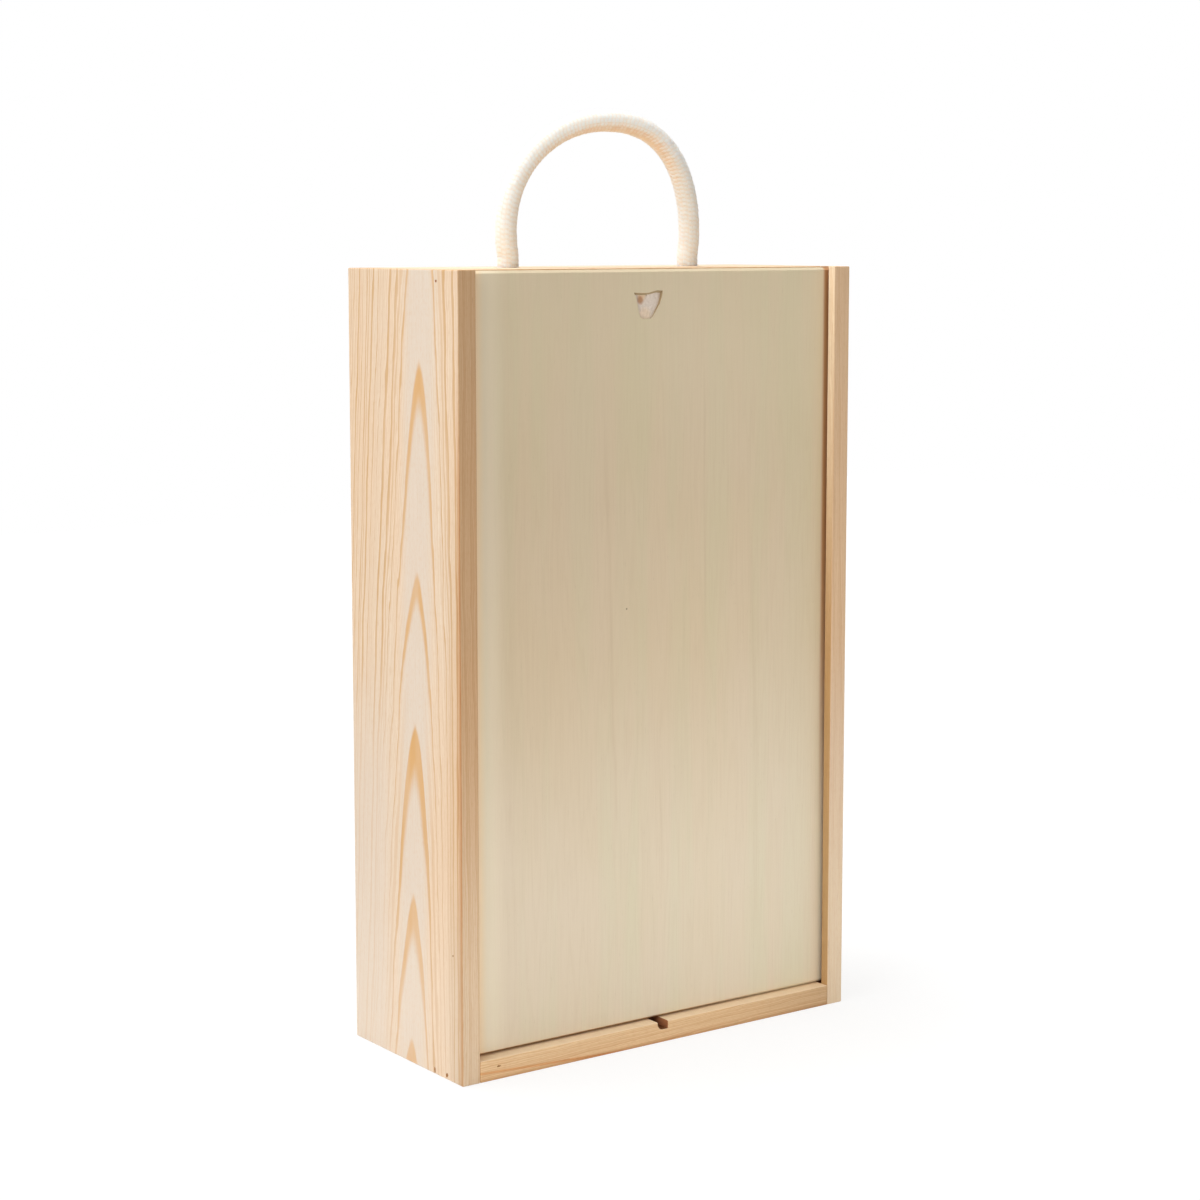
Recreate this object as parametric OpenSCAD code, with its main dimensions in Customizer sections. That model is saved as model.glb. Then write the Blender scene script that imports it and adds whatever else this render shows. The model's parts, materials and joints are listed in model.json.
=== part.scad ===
// A wooden box for two bottles, standing upright. The front is a thin panel that slides up and out
// of grooves in the side boards. A rope handle passes through two holes in the top board and is
// knotted below them. Millimetres, +Z up. The origin is the middle of the footprint, on the surface
// that the box stands on. The sliding panel faces -Y.

/* [Case] */
// Outside width, across the front
case_width = 215; // [180:1:270]
// Outside depth, from the front edges to the back panel
case_depth = 90; // [80:1:130]
// Outside height of the boards, without the handle
case_height = 350; // [300:1:420]
// Thickness of the two side boards
side_thick = 9; // [8:0.5:14]
// Thickness of the top and bottom boards
end_thick = 9.5; // [8:0.5:14]
// Flat taken off the long edges of the side boards and the bottom board
edge_ease = 0.5; // [0.2:0.1:1.2]

/* [Sliding lid] */
// Thickness of the plywood lid
lid_thick = 4; // [3:0.5:6]
// Wood left in front of the lid groove
lip_thick = 5; // [4:0.5:8]
// Depth of the lid groove, cut into each side board
groove_depth = 5; // [3:0.5:6]
// Free space in the groove in front of the lid
lid_front_play = 1; // [0.4:0.1:1.5]
// Free space in the groove behind the lid
lid_back_play = 0.4; // [0.3:0.1:1]
// Free space between each edge of the lid and the bottom of its groove
lid_side_play = 0.6; // [0.3:0.1:1.5]
// Gap under the closed lid
lid_rest_gap = 0.3; // [0.1:0.1:1]
// How far the lid's top edge stops below the ends of the side boards
lid_top_drop = 0.5; // [0:0.1:2]
// Bevel along the front of the lid's top and bottom edges
lid_bevel = 1.2; // [0.4:0.1:2]

/* [Finger pull] */
// Width of the pull along its straight top edge
pull_width = 14.5; // [10:0.5:30]
// Height of the pull, from its top edge to its rounded tip
pull_height = 12; // [8:0.5:24]
// Width of the rounded tip
pull_tip = 5; // [2:0.5:8]
// Depth at the top edge, where the fingertip hooks in
pull_depth = 2.2; // [1:0.1:2.6]
// Depth at the tip, where the ramp runs out
pull_heel = 0.4; // [0.1:0.1:0.8]
// Distance from the lid's top edge down to the pull
pull_drop = 9.5; // [5:0.5:40]
// Place of the pull beside the lid's middle
pull_offset = -4; // [-40:1:40]

/* [Back panel] */
// Thickness of the plywood back, which fills a rebate in the side boards
back_thick = 3; // [2.5:0.5:6]
// Width of that rebate, cut into each side board
rebate_width = 4.5; // [3:0.5:6]
// Free space beside the back panel, at each edge
back_play = 0.3; // [0.1:0.1:0.8]

/* [Divider] */
// Thickness of the board between the two bottles
divider_thick = 6; // [4:0.5:8]
// Depth of the slots that hold it, in the top and bottom boards
slot_depth = 3.6; // [2.5:0.1:4.5]
// Free space between the divider and each wall of its slots
divider_play = 0.4; // [0.3:0.1:1]
// Rounding at the foot of the slot where it runs out through the front of the bottom board
slot_round = 3; // [0.5:0.1:3.2]

/* [Rope handle] */
// Diameter of the rope
rope_d = 10; // [6:0.5:14]
// Distance between the two rope holes
rope_span = 100; // [80:1:130]
// Height of the middle of the rope above the top board, at its crown
rope_rise = 65.5; // [50:0.5:100]
// Length of the nearly straight legs below the arch
rope_leg = 15; // [10:0.5:25]
// How far each leg bows outward
rope_bow = 1; // [0:0.1:4]
// How far the crown leans towards +X
rope_lean = 5; // [0:0.5:10]
// Free space round the rope in its holes
rope_play = 0.3; // [0.1:0.1:1]
// Gap between the arch's rounded ends and the top board
rope_seat_gap = 0.3; // [0.2:0.1:0.6]
// Diameter of the knots under the top board
knot_d = 30; // [25:0.5:40]
// Height of the knots
knot_height = 24; // [16:0.5:28]
// Length of rope left below each knot
tail_length = 8; // [3:0.5:15]

/* [Brads] */
// Diameter of the brads
brad_d = 1.2; // [1:0.1:1.6]
// Diameter of their heads
brad_head_d = 1.8; // [1.7:0.1:2.4]
// Height of their heads
brad_head_h = 0.8; // [0.5:0.1:1.2]
// How far the heads are punched below the surface
brad_set = 0.4; // [0.2:0.1:0.8]
// Length of the brads that hold the sides to the end boards
side_brad_length = 22; // [18:1:30]
// Length of the brads that hold the back panel
back_brad_length = 15; // [12:1:20]
// Distance of the side brads from the front and back edges
side_brad_inset = 17; // [14:1:25]
// Distance between the back brads along the top and bottom boards
back_brad_pitch = 50; // [40:1:52]
// Distance between the back brads along the side boards
back_brad_rise = 85; // [60:1:100]
// Free space round a brad in the wood
brad_play = 0.05; // [0.02:0.01:0.1]

/* [Hidden] */

$fn = 48;
LEFT = -1;
RIGHT = 1;
OVER = 1; // how far a cutting shape reaches past the surface that it cuts

// Across the box
inner_width = case_width - 2 * side_thick;
inner_x = inner_width / 2;

// From front to back
front_y = -case_depth / 2;
back_y = case_depth / 2;
groove_width = lid_front_play + lid_thick + lid_back_play;
groove_front_y = front_y + lip_thick;
groove_back_y = groove_front_y + groove_width;
lid_front_y = groove_front_y + lid_front_play;
panel_front_y = back_y - back_thick;
top_board_depth = panel_front_y - groove_back_y;

// From the bottom up
floor_z = end_thick;
ceiling_z = case_height - end_thick;
lid_bottom_z = floor_z + lid_rest_gap;
lid_top_z = case_height - lid_top_drop;
lid_height = lid_top_z - lid_bottom_z;

lid_width = inner_width + 2 * (groove_depth - lid_side_play);
back_width = inner_width + 2 * (rebate_width - back_play);
slot_width = divider_thick + 2 * divider_play;
divider_bottom_z = floor_z - slot_depth;
divider_top_z = ceiling_z + slot_depth - divider_play;
divider_front_y = groove_back_y + divider_play;
divider_back_y = panel_front_y - divider_play;

// The rope holes lie on the middle line of the top board
rope_r = rope_d / 2;
rope_y = (groove_back_y + panel_front_y) / 2;
rope_pivot_z = case_height + rope_r + rope_seat_gap;

// Brad rows
top_row_z = case_height - end_thick / 2;
bottom_row_z = end_thick / 2;
side_row_x = inner_x + (rebate_width - back_play) / 2;

// Colours
PINE = [0.93, 0.80, 0.63];
POPLAR = [0.83, 0.74, 0.60];
COTTON = [0.95, 0.91, 0.83];
STEEL = [0.55, 0.55, 0.57];

// ---- Brads ----

// A headed brad. The middle of its head's top is at the origin, and it points down -Z.
module brad(length) {
    translate([0, 0, -brad_head_h])
        cylinder(d = brad_head_d, h = brad_head_h);
    translate([0, 0, -length])
        cylinder(d = brad_d, h = length - brad_head_h / 2);
}

// The hole that a driven brad leaves, open above its head
module brad_hole(length) {
    translate([0, 0, -brad_head_h - brad_play])
        cylinder(d = brad_head_d + 2 * brad_play, h = brad_head_h + brad_play + brad_set + OVER);
    translate([0, 0, -length - brad_play])
        cylinder(d = brad_d + 2 * brad_play, h = length);
}

// Places its children at the two brads of one corner, pointing into the side board
module at_side_brads(side, z) {
    for (y = [front_y + side_brad_inset, back_y - side_brad_inset])
        translate([side * (case_width / 2 - brad_set), y, z])
            rotate([0, side * 90, 0])
                children();
}

// Places its children along the back edge of the top or bottom board
module at_back_end_brads(z) {
    for (step = [-1.5:1:1.5])
        translate([step * back_brad_pitch, back_y - brad_set, z])
            rotate([-90, 0, 0])
                children();
}

// Places its children up the back edge of one side board
module at_back_side_brads(side) {
    for (step = [-1, 0, 1])
        translate([side * side_row_x, back_y - brad_set, case_height / 2 + step * back_brad_rise])
            rotate([-90, 0, 0])
                children();
}

// ---- Boards ----

// Section of a side board, seen from above, its outer face at x = 0. It goes round from the front
// lip to the lid groove, the wall and the rebate for the back panel.
module side_section() {
    groove_x = side_thick - groove_depth;
    rebate_x = side_thick - rebate_width;
    groove_back = lip_thick + groove_width;
    rebate_y = case_depth - back_thick;
    polygon([
        [edge_ease, 0], [side_thick - edge_ease, 0], [side_thick, edge_ease],
        [side_thick, lip_thick], [groove_x, lip_thick],
        [groove_x, groove_back], [side_thick, groove_back],
        [side_thick, rebate_y], [rebate_x, rebate_y],
        [rebate_x, case_depth], [edge_ease, case_depth],
        [0, case_depth - edge_ease], [0, edge_ease]
    ]);
}

module side_board(side) {
    color(PINE)
        difference() {
            mirror([side > 0 ? 1 : 0, 0, 0])
                translate([-case_width / 2, front_y, 0])
                    linear_extrude(case_height)
                        side_section();
            at_side_brads(side, top_row_z)
                brad_hole(side_brad_length);
            at_side_brads(side, bottom_row_z)
                brad_hole(side_brad_length);
            at_back_side_brads(side)
                brad_hole(back_brad_length);
        }
}

// The divider's slot, seen from the front, its mouth on y = 0
module slot_section() {
    translate([-slot_width / 2, -slot_depth])
        square([slot_width, slot_depth + OVER]);
}

// The same slot where it leaves the front of the bottom board, with one foot rounded
module slot_end_section() {
    radius = min(slot_round, slot_depth - 0.2);
    difference() {
        slot_section();
        translate([-slot_width / 2, -slot_depth])
            difference() {
                translate([-OVER, -OVER])
                    square(radius + OVER);
                translate([radius, radius])
                    circle(radius);
            }
    }
}

// Runs a section drawn in X and Z along Y, from y0 to y1
module run_back(y0, y1) {
    translate([0, y1, 0])
        rotate([90, 0, 0])
            linear_extrude(y1 - y0)
                children();
}

module top_board() {
    color(PINE)
        difference() {
            translate([-inner_x, groove_back_y, ceiling_z])
                cube([inner_width, top_board_depth, end_thick]);
            for (side = [LEFT, RIGHT])
                translate([side * rope_span / 2, rope_y, ceiling_z - OVER])
                    cylinder(d = rope_d + 2 * rope_play, h = end_thick + 2 * OVER);
            translate([0, 0, ceiling_z])
                mirror([0, 0, 1])
                    run_back(groove_back_y - OVER, panel_front_y + OVER)
                        slot_section();
            for (side = [LEFT, RIGHT])
                at_side_brads(side, top_row_z)
                    brad_hole(side_brad_length);
            at_back_end_brads(top_row_z)
                brad_hole(back_brad_length);
        }
}

// Section of the bottom board, seen from the side: its front is flush with the side boards
module bottom_section() {
    polygon([
        [front_y, edge_ease], [front_y + edge_ease, 0], [panel_front_y, 0],
        [panel_front_y, end_thick], [front_y + edge_ease, end_thick],
        [front_y, end_thick - edge_ease]
    ]);
}

module bottom_board() {
    color(PINE)
        difference() {
            rotate([90, 0, 90])
                translate([0, 0, -inner_x])
                    linear_extrude(inner_width)
                        bottom_section();
            translate([0, 0, floor_z])
                run_back(groove_back_y, panel_front_y + OVER)
                    slot_section();
            translate([0, 0, floor_z])
                run_back(front_y - OVER, groove_back_y)
                    slot_end_section();
            for (side = [LEFT, RIGHT])
                at_side_brads(side, bottom_row_z)
                    brad_hole(side_brad_length);
            at_back_end_brads(bottom_row_z)
                brad_hole(back_brad_length);
        }
}

module back_panel() {
    color(POPLAR)
        difference() {
            translate([-back_width / 2, panel_front_y, 0])
                cube([back_width, back_thick, case_height]);
            at_back_end_brads(top_row_z)
                brad_hole(back_brad_length);
            at_back_end_brads(bottom_row_z)
                brad_hole(back_brad_length);
            for (side = [LEFT, RIGHT])
                at_back_side_brads(side)
                    brad_hole(back_brad_length);
        }
}

module centre_divider() {
    color(POPLAR)
        translate([-divider_thick / 2, divider_front_y, divider_bottom_z])
            cube([
                divider_thick, divider_back_y - divider_front_y,
                divider_top_z - divider_bottom_z
            ]);
}

// ---- Sliding lid ----

// Section of the lid, seen from the side, its front face on x = 0 and its bottom on y = 0
module lid_section() {
    polygon([
        [0, lid_bevel], [lid_bevel, 0], [lid_thick, 0],
        [lid_thick, lid_height], [lid_bevel, lid_height], [0, lid_height - lid_bevel]
    ]);
}

// Outline of the finger pull, seen from the front, its straight top edge on y = 0
module pull_outline() {
    tip_r = pull_tip / 2;
    polygon([
        [-pull_width / 2, 0], [pull_width / 2, 0],
        [tip_r, tip_r - pull_height], [-tip_r, tip_r - pull_height]
    ]);
    translate([0, tip_r - pull_height])
        circle(tip_r);
}

// The wood that the pull takes out: its outline, cut off by a ramp that runs out at the tip
module pull_cut() {
    intersection() {
        run_back(-OVER, pull_depth)
            pull_outline();
        rotate([90, 0, 90])
            translate([0, 0, -pull_width])
                linear_extrude(2 * pull_width)
                    polygon([
                        [-OVER, 0], [pull_depth, 0],
                        [pull_heel, -pull_height], [-OVER, -pull_height]
                    ]);
    }
}

module sliding_lid() {
    color(POPLAR)
        difference() {
            translate([-lid_width / 2, lid_front_y, lid_bottom_z])
                rotate([90, 0, 90])
                    linear_extrude(lid_width)
                        lid_section();
            translate([pull_offset, lid_front_y, lid_top_z - pull_drop])
                pull_cut();
        }
}

// ---- Rope handle ----

RINGS = 30; // rings along the arch
SIDES = 12; // sides of the rope's section
END_STEPS = 3; // rings that round off each end

// Middle line of the arch above the pivot line, at share t of the way from the left leg to the
// right one: two short legs that bow outward, and half an ellipse that leans to one side.
leg_rise = rope_leg - (rope_pivot_z - case_height);
leg_share = 0.1;
function arch_leg(side, share) = [
    side * (rope_span / 2 + rope_bow * sin(90 * share)),
    leg_rise * share
];
function arch_bend(angle) = [
    -(rope_span / 2 + rope_bow) * cos(angle) + rope_lean * pow(sin(angle), 2),
    leg_rise + (rope_rise - rope_leg) * sin(angle)
];
function arch_point(t) =
    t < leg_share ? arch_leg(LEFT, t / leg_share)
    : t > 1 - leg_share ? arch_leg(RIGHT, (1 - t) / leg_share)
    : arch_bend(180 * (t - leg_share) / (1 - 2 * leg_share));

// Direction of the arch at share t, and the square direction that points away from its inside
function unit(v) = v / norm(v);
STEP = 0.01;
function arch_along(t) = unit(arch_point(min(1, t + STEP)) - arch_point(max(0, t - STEP)));
function across(v) = [-v[1], v[0]];

// One ring of the rope's section, moved along the arch by push and with its own radius
function rope_ring(t, push, radius) = [
    for (i = [0:SIDES - 1])
        let (
            angle = 360 * i / SIDES,
            middle = arch_point(t) + push * arch_along(t),
            spot = middle + radius * cos(angle) * across(arch_along(t))
        )
        [spot[0], rope_y + radius * sin(angle), rope_pivot_z + spot[1]]
];

function end_rings(t, way) = [
    for (i = [0:END_STEPS - 1])
        let (angle = way < 0 ? 90 * (END_STEPS - i) / (END_STEPS + 0.5) : 90 * (i + 1) / (END_STEPS + 0.5))
        rope_ring(t, way * rope_r * sin(angle), rope_r * cos(angle))
];

module rope_arch() {
    rings = concat(
        end_rings(0, -1),
        [for (i = [0:RINGS - 1]) rope_ring(i / (RINGS - 1), 0, rope_r)],
        end_rings(1, 1)
    );
    points = [for (ring = rings) each ring];
    last = len(rings) - 1;
    walls = [
        for (j = [0:last - 1], i = [0:SIDES - 1])
            let (a = j * SIDES + i, b = j * SIDES + (i + 1) % SIDES)
            [a, b, b + SIDES, a + SIDES]
    ];
    start_cap = [for (i = [0:SIDES - 1]) SIDES - 1 - i];
    end_cap = [for (i = [0:SIDES - 1]) last * SIDES + i];
    color(COTTON)
        polyhedron(points, concat([start_cap], walls, [end_cap]), convexity = 4);
}

// The stretch of rope inside one hole of the top board
module rope_leg(side) {
    color(COTTON)
        translate([side * rope_span / 2, rope_y, ceiling_z])
            cylinder(d = rope_d, h = end_thick);
}

// Half the section of a knot, its middle on the origin
module knot_section() {
    bulge = knot_height / 2;
    intersection() {
        union() {
            translate([knot_d / 2 - bulge, 0])
                circle(bulge);
            translate([0, -bulge])
                square([knot_d / 2 - bulge, knot_height]);
        }
        translate([0, -knot_height])
            square([knot_d, 2 * knot_height]);
    }
}

// A knot that holds the rope up from below, with the cut end that hangs out of it
module rope_knot(side) {
    color(COTTON)
        translate([side * rope_span / 2, rope_y, ceiling_z]) {
            translate([0, 0, -knot_height / 2])
                rotate_extrude()
                    knot_section();
            translate([0, 0, -knot_height - tail_length])
                cylinder(d = rope_d, h = tail_length + knot_height / 2);
        }
}

// ---- Brad groups ----

module side_brads(side, z) {
    color(STEEL)
        at_side_brads(side, z)
            brad(side_brad_length);
}

module back_brads() {
    color(STEEL) {
        for (z = [bottom_row_z, top_row_z])
            at_back_end_brads(z)
                brad(back_brad_length);
        for (side = [LEFT, RIGHT])
            at_back_side_brads(side)
                brad(back_brad_length);
    }
}

side_board(LEFT);  // left_side
side_board(RIGHT);  // right_side
top_board();
bottom_board();
back_panel();
centre_divider();
sliding_lid();
rope_arch();
rope_leg(LEFT);  // left_rope_leg
rope_leg(RIGHT);  // right_rope_leg
rope_knot(LEFT);  // left_knot
rope_knot(RIGHT);  // right_knot
side_brads(LEFT, top_row_z);  // left_top_brads
side_brads(LEFT, bottom_row_z);  // left_bottom_brads
side_brads(RIGHT, top_row_z);  // right_top_brads
side_brads(RIGHT, bottom_row_z);  // right_bottom_brads
back_brads();
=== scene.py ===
# %% [markdown]
# # A pine box for two bottles
# The real box is a small joinery job: two solid pine sides, a pine top and bottom between them, a
# thin plywood back, a board between the bottles, a plywood lid that slides up in two grooves, and
# a cotton rope to carry it by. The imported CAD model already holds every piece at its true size.
# It is loaded first, as a fixed frame, and each dressed piece below takes its place from it.

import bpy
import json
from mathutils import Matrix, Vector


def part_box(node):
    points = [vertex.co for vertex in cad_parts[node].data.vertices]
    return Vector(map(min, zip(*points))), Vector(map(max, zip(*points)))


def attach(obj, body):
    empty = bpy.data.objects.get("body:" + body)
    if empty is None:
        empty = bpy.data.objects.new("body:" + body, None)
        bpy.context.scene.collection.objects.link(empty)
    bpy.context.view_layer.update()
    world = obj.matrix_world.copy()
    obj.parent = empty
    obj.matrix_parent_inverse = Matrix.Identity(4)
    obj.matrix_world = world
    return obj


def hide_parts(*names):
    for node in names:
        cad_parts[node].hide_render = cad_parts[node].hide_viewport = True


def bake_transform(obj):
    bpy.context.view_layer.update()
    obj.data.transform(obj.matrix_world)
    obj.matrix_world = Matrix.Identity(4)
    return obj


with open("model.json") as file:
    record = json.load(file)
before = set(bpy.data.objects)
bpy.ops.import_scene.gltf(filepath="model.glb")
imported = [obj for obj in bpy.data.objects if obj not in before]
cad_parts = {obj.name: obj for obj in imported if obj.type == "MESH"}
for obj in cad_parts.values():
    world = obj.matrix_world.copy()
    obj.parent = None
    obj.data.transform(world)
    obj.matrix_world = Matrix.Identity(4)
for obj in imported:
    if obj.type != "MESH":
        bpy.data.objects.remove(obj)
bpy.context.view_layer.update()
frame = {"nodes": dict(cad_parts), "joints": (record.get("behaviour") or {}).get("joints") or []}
print("pieces in the frame:", len(frame["nodes"]))

# %% Tools and units
import json
import math

import bmesh
import bpy
import numpy as np
from mathutils import Vector, noise

MM = 0.001
scene = bpy.context.scene


def put_in(name, data):
    """Puts a mesh, a lamp or a camera into the scene as an object of that name."""
    made = bpy.data.objects.new(name, data)
    scene.collection.objects.link(made)
    return made


def piece_from(name, shape):
    """Turns a finished bmesh into an object of that name."""
    mesh = bpy.data.meshes.new(name)
    shape.to_mesh(mesh)
    shape.free()
    return put_in(name, mesh)


# %% [markdown]
# ## Where the viewer stands
# The box is seen from its front left, a little above its middle, through a long lens. Upright
# edges stay nearly upright because the lens is shifted instead of tilted further down.

# %% Camera
CAMERA_YAW = 35.711  # degrees to the right of straight ahead
CAMERA_PITCH = -6.869  # degrees, looking slightly down
CAMERA_PLACE = (-0.6884, -0.9542, 0.3650)  # metres from the middle of the base
LENS, SENSOR = 77.56, 36  # millimetres
LENS_SHIFT = -0.0458

camera_data = bpy.data.cameras.new("viewer")
camera_data.lens = LENS
camera_data.sensor_width = SENSOR
camera_data.shift_y = LENS_SHIFT
camera = scene.camera = put_in("viewer", camera_data)
camera.location = CAMERA_PLACE
camera.rotation_euler = (math.radians(90 + CAMERA_PITCH), 0, math.radians(-CAMERA_YAW))
print("camera stands", round(camera.location.length, 3), "m from the middle of the base")

# %% [markdown]
# ## The rope's route
# The rope comes up through one hole in the top board, stands in a stiff arch, and goes down
# through the other hole. The arch is two short legs that bow outward and half an ellipse that
# leans to the right, because a real rope keeps a little of the curl of its coil. A formula gives
# the whole curve, so that its length can be measured before any mesh is made.

# %% The rope's middle line
leg_low, leg_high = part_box("left_rope_leg")
ROPE_R = (leg_high.x - leg_low.x) / 2
ROPE_Y = (leg_high.y + leg_low.y) / 2
HOLE_X = -(leg_high.x + leg_low.x) / 2
CEILING_Z = leg_low.z
TOP_Z = leg_high.z

swing = next(joint for joint in frame["joints"] if joint["name"] == "handle_swing")
PIVOT_Z = swing["pos_m"][2]
ROPE_RISE = 65.5 * MM  # the crown's middle line above the top board
ROPE_LEG = 15 * MM  # height of the nearly straight legs
ROPE_BOW = 1 * MM  # how far the legs bow outward
ROPE_LEAN = 5 * MM  # how far the crown leans
LEG_RISE = ROPE_LEG - (PIVOT_Z - TOP_Z)
LEG_SHARE = 0.1
ARCH_FULLNESS = 0.92  # 1 is a plain half ellipse, less gives it fuller shoulders
KNOT_JOIN = 2 * MM  # the handle meets its knots this far up inside the holes


def arch_point(t):
    """A point of the arch, x and height above the pivot line, from the left leg to the right."""
    if LEG_SHARE <= t <= 1 - LEG_SHARE:
        angle = math.pi * (t - LEG_SHARE) / (1 - 2 * LEG_SHARE)
        across = math.copysign(abs(math.cos(angle)) ** ARCH_FULLNESS, math.cos(angle))
        x = -(HOLE_X + ROPE_BOW) * across + ROPE_LEAN * math.sin(angle) ** 2
        return x, LEG_RISE + (ROPE_RISE - ROPE_LEG) * max(0.0, math.sin(angle)) ** ARCH_FULLNESS
    side, share = (-1, t / LEG_SHARE) if t < 0.5 else (1, (1 - t) / LEG_SHARE)
    return side * (HOLE_X + ROPE_BOW * math.sin(math.pi / 2 * share)), LEG_RISE * share


def handle_line(points):
    """The middle line of the whole handle, both stretches inside the holes included."""
    start_z = CEILING_Z + KNOT_JOIN
    arch = [arch_point(t) for t in np.linspace(0, 1, points)]
    line = [(x, ROPE_Y, PIVOT_Z + z) for x, z in arch]
    return np.array([(-HOLE_X, ROPE_Y, start_z), *line, (HOLE_X, ROPE_Y, start_z)])


def distances(line):
    """How far each point of a line lies from its start, measured along it."""
    return np.r_[0, np.cumsum(np.linalg.norm(np.diff(line, axis=0), axis=1))]


rope_line = handle_line(200)

# %% [markdown]
# ## A braided surface
# The rope is a solid braid: fourteen columns of small stitches run along it, and every stitch
# sits a little higher than its neighbour, so that fine slanting ribs seem to go round it. A bump
# map would leave the outline smooth, so the stitches are made as real relief. A tube is swept
# along the middle line and each of its points is pushed in where it falls between two stitches.

# %% Relief of the braid
STITCH_COLUMNS = 14
STITCH_LENGTH = 2.1 * MM
STITCH_TWIST = 3 / STITCH_COLUMNS  # how far each column climbs past the last one, in stitches
STITCH_STEP = 0.22  # how far every second column is moved on
POINTS_A_COLUMN = 6
RINGS_A_STITCH = 7
BRAID_DEPTH = 0.42 * MM
FLUFF_DEPTH = 0.05 * MM  # how unevenly the loose fibres stand off the stitches

SIZE_COUNT = 997  # a column's stitch sizes repeat after this many

stitch_luck = np.random.default_rng(7)
STITCH_SIZES = stitch_luck.uniform(0.55, 1.0, (STITCH_COLUMNS, SIZE_COUNT))


def braid_height(around, along):
    """Height of the braid from 0 in a crevice to 1 on a stitch. around counts columns, along
    counts stitches."""
    column = np.floor(around).astype(int) % STITCH_COLUMNS
    across = 2 * (around - np.floor(around)) - 1
    place = along + STITCH_TWIST * (column + across / 2) + STITCH_STEP * (column % 2)
    stitch = np.floor(place).astype(int)
    lengthwise = 2 * (place - stitch) - 1
    oval = (1 - 0.6 * np.abs(across) ** 2.4) * (1 - np.abs(lengthwise) ** 2.6)
    return np.sqrt(np.clip(oval, 0, 1)) * STITCH_SIZES[column, stitch % SIZE_COUNT]


# %% Sweeping a tube
def even_line(line, step):
    """The same line with points at even distances, about one step apart."""
    along = distances(line)
    places = np.linspace(0, along[-1], max(2, round(along[-1] / step) + 1))
    return np.stack([np.interp(places, along, line[:, k]) for k in range(3)], 1), places


def carried_frames(line):
    """Two directions square to the line at each point, carried along it without twisting."""
    ways = np.gradient(line, axis=0)
    ways /= np.linalg.norm(ways, axis=1)[:, None]
    side = np.cross(ways[0], (0, 1, 0) if abs(ways[0][1]) < 0.9 else (1, 0, 0))
    sides = []
    for way in ways:
        side = side - way * (side @ way)
        side = side / np.linalg.norm(side)
        sides.append(side)
    sides = np.array(sides)
    return ways, sides, np.cross(ways, sides)


# %% A rope with its stitches
END_SHARE = 0.55  # the rope's radius at its very ends, as a share of the full one


def end_radii(places, radius):
    """How far the rope is rounded off near its two ends, as a share of its radius."""
    near = np.minimum(places, places[-1] - places)
    share = np.clip(near / (0.5 * radius), 0, 1)
    return END_SHARE + (1 - END_SHARE) * np.sqrt(1 - (1 - share) ** 2)


def braided_rope(name, line):
    """A rope with real stitches along a line. It is closed at both ends."""
    line, places = even_line(line, STITCH_LENGTH / RINGS_A_STITCH)
    _, sides, fronts = carried_frames(line)
    count = STITCH_COLUMNS * POINTS_A_COLUMN
    around = np.arange(count) / POINTS_A_COLUMN
    height = braid_height(around[None, :], places[:, None] / STITCH_LENGTH)
    fluff = FLUFF_DEPTH * np.abs(stitch_luck.normal(size=height.shape))
    radius = (ROPE_R - BRAID_DEPTH * (1 - height) - fluff) * end_radii(places, ROPE_R)[:, None]
    angle = (2 * math.pi * around / STITCH_COLUMNS)[None, :, None]
    outward = np.cos(angle) * sides[:, None] + np.sin(angle) * fronts[:, None]
    return tube_mesh(name, line[:, None] + radius[..., None] * outward, height, places)


def tube_mesh(name, points, height, places):
    """Joins rings of points into a closed tube that knows its stitches: the braid map counts
    columns and stitches, and the attribute braid_height holds the relief."""
    rings, count, _ = points.shape
    here = np.arange(rings - 1)[:, None] * count + np.arange(count)[None]
    right = np.arange(rings - 1)[:, None] * count + (np.arange(count)[None] + 1) % count
    walls = np.stack([here, right, right + count, here + count], -1).reshape(-1, 4).tolist()
    caps = [list(range(count))[::-1], list(range((rings - 1) * count, rings * count))]
    mesh = bpy.data.meshes.new(name)
    mesh.from_pydata(points.reshape(-1, 3).tolist(), [], walls + caps)
    mesh.polygons.foreach_set("use_smooth", [True] * len(walls) + [False] * 2)

    column = np.broadcast_to(np.arange(count) / POINTS_A_COLUMN, here.shape)
    stitch = np.broadcast_to(places[:-1, None] / STITCH_LENGTH, here.shape)
    wide, long = 1 / POINTS_A_COLUMN, (places[1] - places[0]) / STITCH_LENGTH
    steps = ((0, 0), (wide, 0), (wide, long), (0, long))
    corners = [np.stack([column + across, stitch + up], -1) for across, up in steps]
    braid = np.zeros((len(mesh.loops), 2), np.float32)
    braid[: len(walls) * 4] = np.stack(corners, 2).reshape(-1, 2)
    mesh.uv_layers.new(name="braid").uv.foreach_set("vector", braid.ravel())
    relief = mesh.attributes.new("braid_height", "FLOAT", "POINT")
    relief.data.foreach_set("value", height.astype(np.float32).ravel())
    mesh.validate()
    print(name, "has", len(mesh.polygons), "faces")
    return put_in(name, mesh)


rope_handle = braided_rope("rope_handle", rope_line)

# %% [markdown]
# ## The knots under the top board
# Below each hole the rope is tied in an overhand knot that cannot slip back through. A knot's
# line is hard to draw by hand and easy to find by tightening: a loose overhand knot has a known
# formula, and a rope that is pulled shorter, step by step, while its turns push each other apart,
# settles into the tight knot by itself.

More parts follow.
